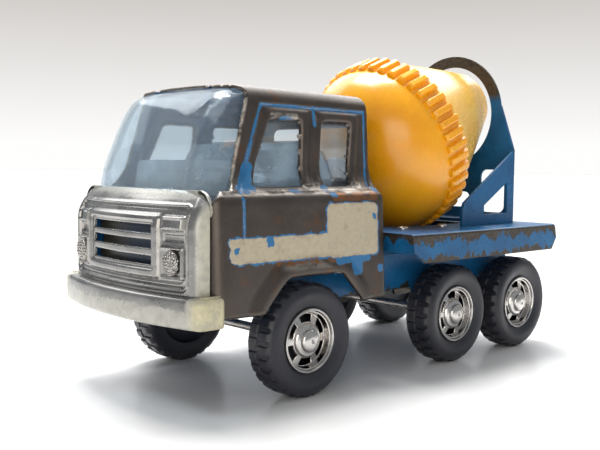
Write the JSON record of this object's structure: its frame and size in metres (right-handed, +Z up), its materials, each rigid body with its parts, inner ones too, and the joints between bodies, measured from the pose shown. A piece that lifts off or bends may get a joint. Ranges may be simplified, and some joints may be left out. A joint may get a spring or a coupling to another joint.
{
  "type": "toy cement mixer",
  "caption": "Toy cement mixer truck of pressed steel and plastic, with a cab, flat deck, tilted toothed drum that turns in an arched rear support, and wheels that roll on steel axles.",
  "frame": {"origin": "on the ground under the middle of the bounding box", "axes": "+X towards the truck's front, +Y towards its left side, +Z up"},
  "size_m": [0.1364, 0.0692, 0.0892],
  "materials": {
    "cab_paint": "blue paint worn through to dark brown steel",
    "chassis_paint": "blue stove enamel",
    "deck_paint": "blue stove enamel, edges worn to steel",
    "support_paint": "blue stove enamel, worn",
    "clear_plastic": "clear blue-tinted moulding",
    "interior_plastic": "translucent grey-blue moulding",
    "bright_plastic": "vacuum-plated plastic, plating worn",
    "drum_plastic": "glossy yellow-orange",
    "cone_plastic": "glossy yellow-orange, paler",
    "steel": "plain bright steel",
    "tyre": "blue-black moulded rubber",
    "hub_chrome": "bright plated plastic"
  },
  "bodies": {
    "truck": {"chassis": "chassis_paint", "deck": "deck_paint", "deck_rivets": "steel", "cab_shell": "cab_paint", "cab_glazing": "clear_plastic", "cab_interior": "interior_plastic", "grille_bumper": "bright_plastic", "rear_support": "support_paint", "support_rivets": "steel", "drum_bracket": "support_paint", "bracket_rivets": "steel"},
    "drum": {"drum_bowl": "drum_plastic", "drum_cone": "cone_plastic", "drum_spindle": "steel", "spindle_washer": "steel"},
    "front_wheels": {"axle_front": "steel", "tyre_front_left": "tyre", "hub_front_left": "hub_chrome", "tyre_front_right": "tyre", "hub_front_right": "hub_chrome"},
    "middle_wheels": {"axle_middle": "steel", "tyre_middle_left": "tyre", "hub_middle_left": "hub_chrome", "tyre_middle_right": "tyre", "hub_middle_right": "hub_chrome"},
    "rear_wheels": {"axle_rear": "steel", "tyre_rear_left": "tyre", "hub_rear_left": "hub_chrome", "tyre_rear_right": "tyre", "hub_rear_right": "hub_chrome"}
  },
  "joints": [
    {"name": "drum_spin", "type": "hinge", "parent": "truck", "child": "drum", "pos_m": [-0.0301, 0, 0.0616], "axis": [-0.9212, 0, 0.3891], "continuous": true},
    {"name": "front_axle_spin", "type": "hinge", "parent": "truck", "child": "front_wheels", "pos_m": [0.0316, 0, 0.0135], "axis": [0, 1, 0], "continuous": true},
    {"name": "middle_axle_spin", "type": "hinge", "parent": "truck", "child": "middle_wheels", "pos_m": [-0.0237, 0, 0.0135], "axis": [0, 1, 0], "continuous": true},
    {"name": "rear_axle_spin", "type": "hinge", "parent": "truck", "child": "rear_wheels", "pos_m": [-0.0547, 0, 0.0135], "axis": [0, 1, 0], "continuous": true}
  ]
}
